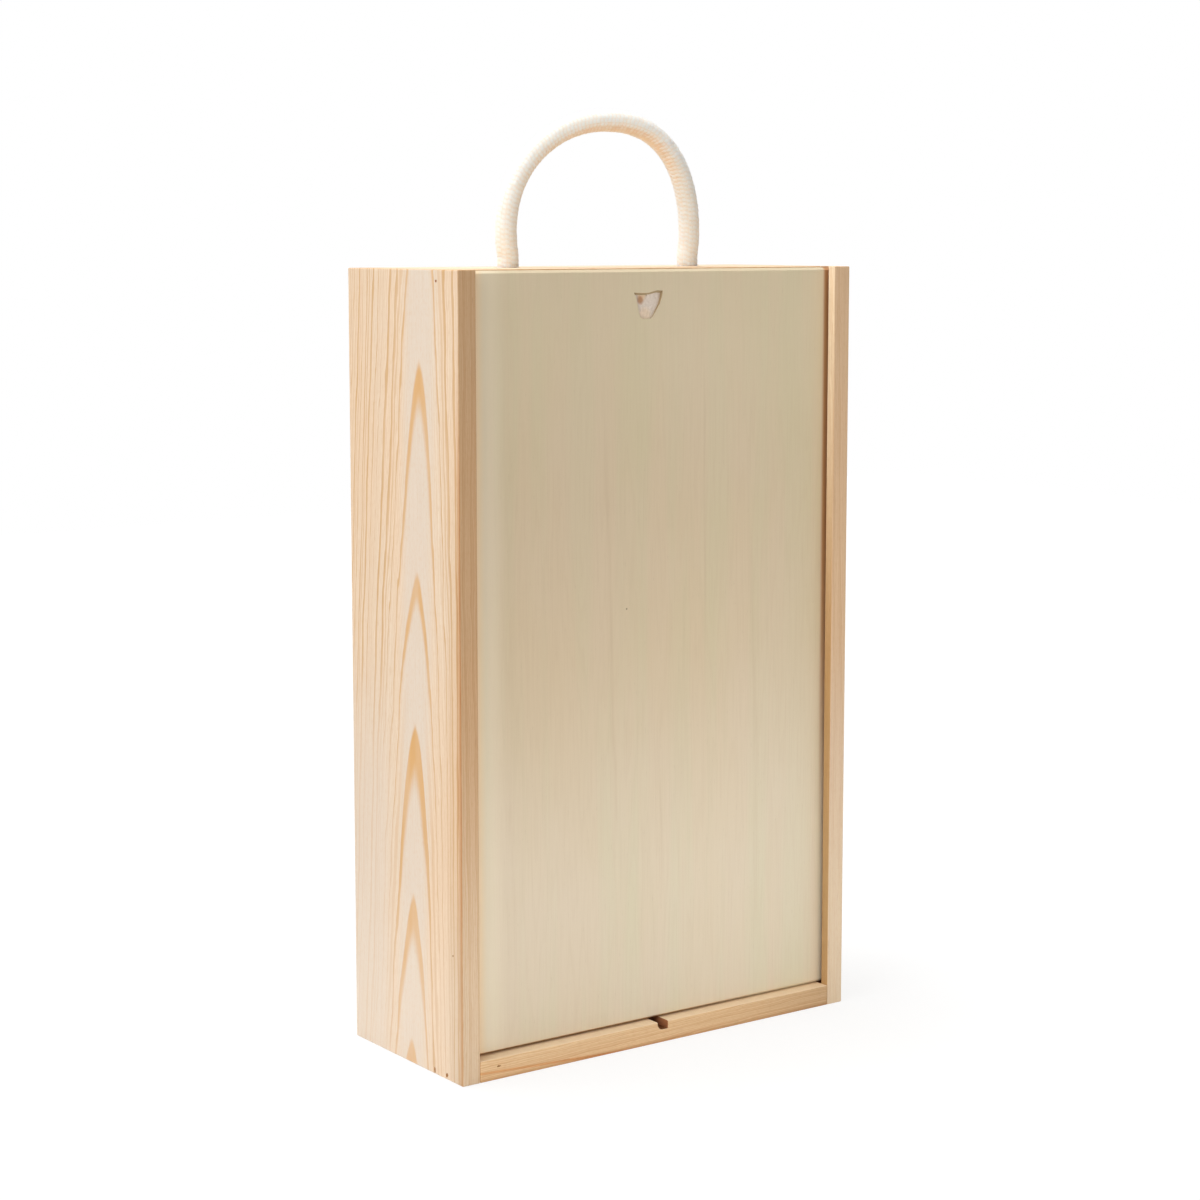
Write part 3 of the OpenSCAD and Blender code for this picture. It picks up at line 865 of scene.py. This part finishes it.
# %% Making and shaping a board
def solid_from(name, shape, material):
    """Turns a closed bmesh into a solid object of one material."""
    bmesh.ops.recalc_face_normals(shape, faces=shape.faces)
    piece = piece_from(name, shape)
    piece.data.materials.append(material)
    return piece


def run_of(name, section, start, end, way, material):
    """A solid whose section, a list of points in millimetres, runs straight from start to end
    along X, Y or Z."""
    run = "XYZ".index(way)
    shape = bmesh.new()
    ends = [
        [shape.verts.new(Vector((*spot[:run], t, *spot[run:])) * MM) for spot in section]
        for t in (start, end)
    ]
    for ring in ends:
        shape.faces.new(ring)
    for i in range(len(section)):
        j = (i + 1) % len(section)
        shape.faces.new((ends[0][i], ends[0][j], ends[1][j], ends[1][i]))
    return solid_from(name, shape, material)


def plank(name, low, high, way, material):
    """A plain board between two far corners, run along X, Y or Z."""
    run = "XYZ".index(way)
    a, b = (k for k in range(3) if k != run)
    section = [(low[a], low[b]), (high[a], low[b]), (high[a], high[b]), (low[a], high[b])]
    return run_of(name, section, low[run], high[run], way, material)


SHARP = math.radians(35)


def ease(piece, width, segments=3, new_only=None):
    """Rounds the sharp outer corners of a piece. new_only picks edges by their middle."""
    shape = bmesh.new()
    shape.from_mesh(piece.data)
    sharp = [
        edge for edge in shape.edges
        if len(edge.link_faces) == 2 and edge.is_convex and edge.calc_face_angle() > SHARP
        and (new_only is None or new_only((edge.verts[0].co + edge.verts[1].co) / 2 / MM))
    ]
    bmesh.ops.bevel(
        shape, geom=sharp, offset=width * MM, segments=segments, profile=0.5, affect="EDGES",
        clamp_overlap=True,
    )
    shape.to_mesh(piece.data)
    shape.free()


def cut(piece, *cutters):
    """Takes the cutters' shapes out of a piece and throws the cutters away."""
    for cutter in cutters:
        knife = piece.modifiers.new("cut", "BOOLEAN")
        knife.operation, knife.solver, knife.object = "DIFFERENCE", "EXACT", cutter
        knife.material_mode = "TRANSFER"
        graph = bpy.context.evaluated_depsgraph_get()
        mesh = bpy.data.meshes.new_from_object(piece.evaluated_get(graph))
        piece.modifiers.clear()
        old, piece.data = piece.data, mesh
        bpy.data.meshes.remove(old)
        bpy.data.objects.remove(cutter)


def finish_piece(piece, node, body="case"):
    """Puts a finished piece in its node's place, on its body."""
    piece.data.name = piece.name
    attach(piece, body)
    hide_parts(node)
    print(piece.name, "has", len(piece.data.polygons), "faces")


# %% [markdown]
# ## Brad holes and chips
# Brads are punched a little below the surface. On the back each leaves a small cup round its
# head. On the sides most are filled and sanded until only a shallow dimple is left, and one small
# hole stays open near the top of the front. Near the left side's foot two small splinters were
# torn out. All are cut with small tools: turned cups and dimples, and a crumpled lump.

# %% Small cutting tools
CUP_PROFILE = ((0.0, -2.0), (0.94, -2.0), (0.98, -0.35), (1.15, -0.1), (1.6, 0.05), (1.6, 1.0), (0.0, 1.0))
HOLE_PROFILE = ((0.0, -0.36), (0.5, -0.36), (0.5, -0.1), (0.62, 0.02), (0.62, 1.0), (0.0, 1.0))
FILLED_PROFILE = ((0.0, -0.05), (0.6, -0.04), (1.0, 0.03), (1.0, 1.0), (0.0, 1.0))
CUP_SIDES = 20


def turned(name, profile, sides, places, outward, material):
    """Copies of a turned shape, each at a place and with its axis along outward, as one tool.
    profile gives radius and height, in millimetres."""
    shape = bmesh.new()
    lean = Vector(outward).to_track_quat("Z", "Y")
    for place in places:
        rings = []
        for radius, height in profile:
            count = sides if radius else 1
            angles = [2 * math.pi * i / sides for i in range(count)]
            spots = [Vector((radius * math.cos(a), radius * math.sin(a), height)) for a in angles]
            rings.append([shape.verts.new((Vector(place) + lean @ spot) * MM) for spot in spots])
        for low, high in zip(rings, rings[1:]):
            for i in range(sides):
                j = (i + 1) % sides
                corners = [low[i % len(low)], low[j % len(low)], high[j % len(high)], high[i % len(high)]]
                shape.faces.new(list(dict.fromkeys(corners)))
    return solid_from(name, shape, material)


def splinter(name, place, size, material):
    """A small rough lump, for tearing a chip out of a board."""
    shape = bmesh.new()
    bmesh.ops.create_icosphere(shape, subdivisions=3, radius=1.0)
    for vertex in shape.verts:
        rough = 1 + 0.5 * noise.noise(vertex.co * 1.7 + Vector(place))
        vertex.co = (Vector(place) + Vector([c * s * rough for c, s in zip(vertex.co, size)])) * MM
    return solid_from(name, shape, material)


# %% [markdown]
# ## The two sides
# Each side is one pine board with two cuts along its whole height: a groove for the lid, with a
# narrow lip of wood in front of it, and a rebate for the back. The right side mirrors the left.

# %% Side boards
SIDE_FACE = -left_low.x
SIDE_THICK = left_high.x - left_low.x
FRONT_Y, BACK_Y, HEIGHT = left_low.y, left_high.y, left_high.z
INNER_X = SIDE_FACE - SIDE_THICK
LIP_THICK, GROOVE_DEEP, REBATE_DEEP = 4.6, 5.0, 4.5
top_low, top_high = box_mm("top_board")
bottom_low, bottom_high = box_mm("bottom_board")
LIP_BACK, GROOVE_BACK = FRONT_Y + LIP_THICK, top_low.y
GROOVE_X, REBATE_X = INNER_X + GROOVE_DEEP, INNER_X + REBATE_DEEP
PANEL_FRONT = back_low.y
BRAD_Y = 28.0
END_THICK = HEIGHT - top_low.z
BRAD_ROWS = END_THICK / 2, HEIGHT - END_THICK / 2
NEAR = 0.05  # for finding the groove's faces by their middles


def side_section(side):
    """The side board seen from above, round from the front lip to the back rebate."""
    half = [
        (SIDE_FACE, FRONT_Y), (INNER_X, FRONT_Y), (INNER_X, LIP_BACK), (GROOVE_X, LIP_BACK),
        (GROOVE_X, GROOVE_BACK), (INNER_X, GROOVE_BACK), (INNER_X, PANEL_FRONT),
        (REBATE_X, PANEL_FRONT), (REBATE_X, BACK_Y), (SIDE_FACE, BACK_Y),
    ]
    return [(side * x, y) for x, y in half]


def side_board(name, node, side, material, chips=()):
    board = run_of(name, side_section(side), 0, HEIGHT, "Z", material)
    ease(board, 0.45)
    board.data.materials.append(groove_cut)
    for face in board.data.polygons:
        x, y = side * face.center.x / MM, face.center.y / MM
        if INNER_X + NEAR < x < GROOVE_X + NEAR and LIP_BACK - NEAR < y < GROOVE_BACK + NEAR:
            face.material_index = 1
    open_hole = (side * SIDE_FACE, -BRAD_Y, BRAD_ROWS[1])
    filled = [(side * SIDE_FACE, y, z) for y in (-BRAD_Y, BRAD_Y) for z in BRAD_ROWS]
    filled.remove(open_hole)
    cut(board, turned("hole", HOLE_PROFILE, CUP_SIDES, [open_hole], (side, 0, 0), slot_cut))
    cut(board, turned("dimples", FILLED_PROFILE, CUP_SIDES, filled, (side, 0, 0), material))
    cut(board, *(splinter("chip", place, size, torn_cut) for place, size in chips))
    finish_piece(board, node)


LEFT_CHIPS = (  # the place and half the size of each
    ((left_low.x, -22.4, 1.7), (0.3, 0.6, 1.3)),
    ((left_low.x, -32.3, 2.0), (0.4, 0.8, 1.0)),
    ((left_low.x, -37.8, 56.4), (0.3, 0.4, 0.5)),
)
side_board("left_side_board", "left_side", -1, left_pine, LEFT_CHIPS)
side_board("right_side_board", "right_side", 1, right_pine)

# %% [markdown]
# ## Top, bottom and divider
# The top and bottom boards sit between the sides with their grain across the box. Both have a
# slot for the divider. The bottom's slot runs out through the front, where it shows as a small
# dark notch under the lid, rounded at one foot by the cutter. The top has the two rope holes,
# with rims that the rope has worn round.

# %% Top and bottom boards
SLOT_HALF = 3.4
SLOT_DEPTH = 3.6
BASE_CHIP = ((-88.9, FRONT_Y, 5.9), (1.0, 0.35, 0.35))  # its place and half its size
NOTCH_LEFT = -2.5  # the notch in the bottom board's front is a little narrower
NOTCH_ROUND = 3.0
ROUND_STEPS = 8
RIM_PROFILE = ((0.0, -2.0), (6.3, -2.0), (5.9, 0.3), (5.45, 1.0), (5.3, 1.8))
RIM_SIDES = 40


def slot_section(mouth, way, left=-SLOT_HALF, rounded=0.0):
    """The divider's slot seen from the front. mouth is the height of its open side, and rounded
    the radius of its left foot."""
    foot = mouth - way * SLOT_DEPTH
    angles = [math.pi / 2 * i / ROUND_STEPS for i in range(ROUND_STEPS + 1)] if rounded else [0.0]
    corner = [(left + rounded * (1 - math.sin(a)), foot + way * rounded * (1 - math.cos(a))) for a in angles]
    return [*corner, (left, mouth + way), (SLOT_HALF, mouth + way), (SLOT_HALF, foot)]


def rope_hole_profile():
    """A hole through the top board with both rims worn round."""
    return [*RIM_PROFILE, *((radius, END_THICK - height) for radius, height in reversed(RIM_PROFILE))]


top_board = plank("top_pine_board", top_low, top_high, "X", top_pine)
ease(top_board, 0.35)
cut(top_board, run_of("slot", slot_section(top_low.z, -1), GROOVE_BACK - 2, PANEL_FRONT + 2, "Y", slot_cut))
rope_places = [(x / MM, ROPE_Y / MM, top_low.z) for x in (-HOLE_X, HOLE_X)]
cut(top_board, turned("holes", rope_hole_profile(), RIM_SIDES, rope_places, Z, top_pine))
finish_piece(top_board, "top_board")

bottom_board = plank("bottom_pine_board", bottom_low, bottom_high, "X", bottom_pine)
ease(bottom_board, 0.45)
notch = slot_section(END_THICK, 1, NOTCH_LEFT, NOTCH_ROUND)
cut(
    bottom_board,
    run_of("slot", slot_section(END_THICK, 1), GROOVE_BACK, PANEL_FRONT + 2, "Y", slot_cut),
    run_of("notch", notch, FRONT_Y - 2, GROOVE_BACK + 1, "Y", slot_cut),
    splinter("chip", *BASE_CHIP, torn_cut),
)
ease(bottom_board, 0.2, 2, lambda spot: abs(spot.x) < SLOT_HALF + 0.3 and spot.y < FRONT_Y + 0.4)
finish_piece(bottom_board, "bottom_board")

# %% Divider and back
BACK_BRADS = [(x, BACK_Y, z) for x in (-75, -25, 25, 75) for z in BRAD_ROWS]
BACK_BRADS += [(x, BACK_Y, HEIGHT / 2 + step) for x in (-100.6, 100.6) for step in (-85, 0, 85)]

divider = plank("divider_board", divider_low, divider_high, "Z", divider_ply)
ease(divider, 0.3)
finish_piece(divider, "centre_divider")

back = plank("back_ply_panel", back_low, back_high, "Z", back_ply)
ease(back, 0.25)
cut(back, turned("cups", CUP_PROFILE, CUP_SIDES, BACK_BRADS, Y, back_ply))
finish_piece(back, "back_panel")

# %% [markdown]
# ## The sliding lid
# The lid is one sheet of plywood, bevelled along its top and bottom edges so that it enters the
# grooves' ends and seats on the bottom board. Near its top a finger pull is carved: a straight
# upper edge to hook a nail under, and a scoop that rises to a rounded tip. The scoop is not a
# plain prism. The chisel went deeper on its upper left and left a crease beside the deep part,
# so its floor is a fine grid whose depth follows a formula.

# %% Finger pull
LID_BEVEL = 1.2
LID_FACE = lid_low.y + 0.3  # sanding took a little off the front
PULL_BOTTOM = lid_high.z - 21.6
PULL_RIM = ((-11.9, 339.3), (-8.0, 339.1), (-4.1, 339.1), (-1.0, 339.8), (1.1, 340.2), (3.6, 340.0))
PULL_LEFT = ((0.0, -11.9), (0.24, -10.4), (0.5, -9.8), (0.72, -9.2), (0.92, -8.5), (1.0, -7.3))
PULL_RIGHT = ((0.0, 3.9), (0.25, 3.2), (0.5, 2.0), (0.92, -1.6), (1.0, -2.8))
PULL_DEPTH = 1.3  # under the rim
PULL_HEEL = 0.4  # at the tip
PULL_FLARE = 0.15  # how far the tool widens in front of the lid
PULL_ROWS, PULL_COLUMNS = 36, 30


def read_off(pairs, at):
    """The value that a list of pairs gives at a place between them."""
    places, values = zip(*pairs)
    return float(np.interp(at, places, values))


def pull_floor(u, v):
    """Depth of the scoop at share u from left to right and v from rim to tip."""
    ramp = PULL_HEEL + (PULL_DEPTH - PULL_HEEL) * (1 - v) ** 0.9
    under_rim = 0.1 + 0.9 * min(1.0, v / 0.09)
    ramp *= 1 + 0.3 * max(0.0, (u - 0.7) / 0.3) ** 2
    crease = 0.53 - 0.35 * v
    gouge = 0.5 * max(0.0, 1 - v / 0.4) * min(1.0, max(0.0, (crease - u) / 0.02))
    torn = 0.10 * noise.noise(Vector((u * 9, v * 5, 3.0)))
    return ramp * under_rim + (gouge + torn) * min(1.0, v / 0.08)


def pull_point(u, v, inside):
    """A point of the carving tool, on the scoop's floor if inside, or else in front of the lid."""
    flare = 0.0 if inside else PULL_FLARE
    low, high = read_off(PULL_LEFT, v) - flare, read_off(PULL_RIGHT, v) + flare
    x = low + (high - low) * u
    z = PULL_BOTTOM + (read_off(PULL_RIM, x) - PULL_BOTTOM) * (1 - v)
    return Vector((x, LID_FACE + (pull_floor(u, v) if inside else -1.0), z)) * MM


# %% The lid with its pull
def pull_tool(material):
    """A solid that carves the pull: two grids of points, and a wall round them."""
    shape = bmesh.new()
    across, down = range(PULL_COLUMNS + 1), range(PULL_ROWS + 1)
    front, floor = (
        [[shape.verts.new(pull_point(j / PULL_COLUMNS, i / PULL_ROWS, inside)) for j in across] for i in down]
        for inside in (False, True)
    )
    for rows in (front, floor):
        for high, low in zip(rows, rows[1:]):
            for j in range(PULL_COLUMNS):
                shape.faces.new((high[j], high[j + 1], low[j + 1], low[j]))
    rim = [(0, j) for j in range(PULL_COLUMNS)] + [(i, PULL_COLUMNS) for i in range(PULL_ROWS)]
    rim += [(PULL_ROWS, j) for j in range(PULL_COLUMNS, 0, -1)] + [(i, 0) for i in range(PULL_ROWS, 0, -1)]
    for (a, b), (c, d) in zip(rim, rim[1:] + rim[:1]):
        shape.faces.new((front[a][b], front[c][d], floor[c][d], floor[a][b]))
    return solid_from("pull_tool", shape, material)


lid_section = [
    (LID_FACE, lid_low.z + LID_BEVEL), (LID_FACE + LID_BEVEL, lid_low.z), (lid_high.y, lid_low.z),
    (lid_high.y, lid_high.z), (LID_FACE + LID_BEVEL, lid_high.z), (LID_FACE, lid_high.z - LID_BEVEL),
]
lid = run_of("lid_panel", lid_section, lid_low.x, lid_high.x, "X", lid_ply)
ease(lid, 0.2, 2)
cut(lid, pull_tool(pull_cut))
finish_piece(lid, "sliding_lid", "lid")

# %% [markdown]
# ## Brads
# The brads are the frame's own pieces and only their heads show, deep in their cups. Bright wire
# dulls to a brownish grey, with darker flecks where it starts to rust.

# %% Steel finish
def brad_steel():
    finish = Finish("dull steel wire", Metallic=0.9)
    flecks = finish.noise(*(part * 2.5 for part in finish.along(finish.place(), X, Y, Z)), 3.0)
    colour = finish.mix(finish.fade(flecks, 0.5, 0.65), (118, 112, 108), (84, 62, 48))
    finish.relief(flecks, 0.05 * MM)
    return finish.done(colour, finish.fade(flecks, 0.4, 0.7, 0.38, 0.7))


steel = brad_steel()
for name, node in frame["nodes"].items():
    if "brads" in name:
        for slot in node.material_slots:
            slot.material = steel

# %% [markdown]
# ## Floor, backdrop and light
# The box stands on a pale table in a bright studio. A large soft lamp on the left gives the side
# its full brightness, the front gets a weaker, warmer fill, and the white table throws light back
# up at its lower half. To the viewer the surroundings are plain white. The table keeps the box's
# shadow, which fades out with distance so that table and backdrop join without a seam.

# %% Floor
FLOOR_SIZE = 4.0
FLOOR_WHITE = (0.86, 0.86, 0.86, 1)
FLOOR_GLOW = 1.06
FLOOR_DROP = 0.1 * MM  # keeps the table clear of the box's underside
SHADOW_SHARE = 0.22
SHADOW_NEAR, SHADOW_FAR = 130.0, 300.0  # millimetres from the box's middle


def seen_ray(net):
    """1 for what the viewer sees, straight, mirrored or through glass, and 0 for lighting."""
    kinds = ("Is Camera Ray", "Is Glossy Ray", "Is Transmission Ray")
    straight, mirrored, through = (net.node("LightPath", {}, output=kind) for kind in kinds)
    return net.math("MAXIMUM", straight, net.math("MAXIMUM", mirrored, through))


def white_table():
    finish = Finish("white table", Roughness=0.9, Base_Color=FLOOR_WHITE)
    far = finish.node("VectorMath", {0: finish.place()}, output=1, operation="LENGTH")
    shade = finish.fade(far, SHADOW_NEAR, SHADOW_FAR, SHADOW_SHARE, 0.0)
    lit = Value(finish, finish.shader.outputs[0])
    glow = finish.node("Emission", {"Strength": FLOOR_GLOW})
    seen = finish.node("MixShader", {0: shade, 1: glow, 2: lit})
    both = finish.node("MixShader", {0: seen_ray(finish), 1: lit, 2: seen})
    finish.feed(finish.tree.nodes["Material Output"].inputs["Surface"], both)
    return finish.material


floor_shape = bmesh.new()
bmesh.ops.create_grid(floor_shape, x_segments=8, y_segments=8, size=FLOOR_SIZE / 2)
table = piece_from("table_top", floor_shape)
table.location.z = -FLOOR_DROP
table.data.materials.append(white_table())
print("table is", FLOOR_SIZE, "m wide")

# %% Backdrop and lamps
AIR_TINT = (1.0, 0.965, 0.92, 1)
AIR_LIGHT = 0.38


def studio_air():
    """The world: white to the viewer, and a weaker even light on the box."""
    world = bpy.data.worlds.new("studio air")
    world.use_nodes = True
    scene.world = world
    air = Net(world.node_tree)
    even = air.tree.nodes["Background"]
    even.inputs["Color"].default_value = AIR_TINT
    even.inputs["Strength"].default_value = AIR_LIGHT
    white = air.node("Background", {"Color": (1, 1, 1, 1)})
    shown = air.node("MixShader", {0: seen_ray(air), 1: Value(air, even.outputs[0]), 2: white})
    air.feed(air.tree.nodes["World Output"].inputs["Surface"], shown)


def lamp(name, place, target, size, watts, colour):
    """A soft lamp at place that faces target. size is its width and its height."""
    data = bpy.data.lights.new(name, "AREA")
    data.shape = "RECTANGLE"
    data.size, data.size_y = size
    data.energy, data.color = watts, colour
    light = put_in(name, data)
    light.location = place
    light.rotation_euler = (Vector(target) - Vector(place)).to_track_quat("-Z", "Y").to_euler()
    print("lamp", name, "gives", watts, "W")


studio_air()
lamp("left window", (-1.6, -0.42, 0.9), (0, 0, 0.18), (1.1, 1.1), 12.6, (1, 0.99, 0.98))
lamp("skylight", (-0.25, 0.3, 1.7), (0, 0.02, 0.35), (0.9, 0.9), 21, (1, 0.99, 0.97))
lamp("front fill", (0.2, -1.8, 0.7), (0, 0, 0.2), (1.2, 1.2), 0.6, (1, 0.95, 0.88))
lamp("table glow", (0.0, -0.245, 0.04), (0, 0, 0.04), (0.5, 0.08), 0.13, (1, 0.99, 0.98))

# %% [markdown]
# ## Colour
# The picture is shown without a film look, so that a finish renders as it was written.

# %% Colour
scene.view_settings.view_transform = "Standard"
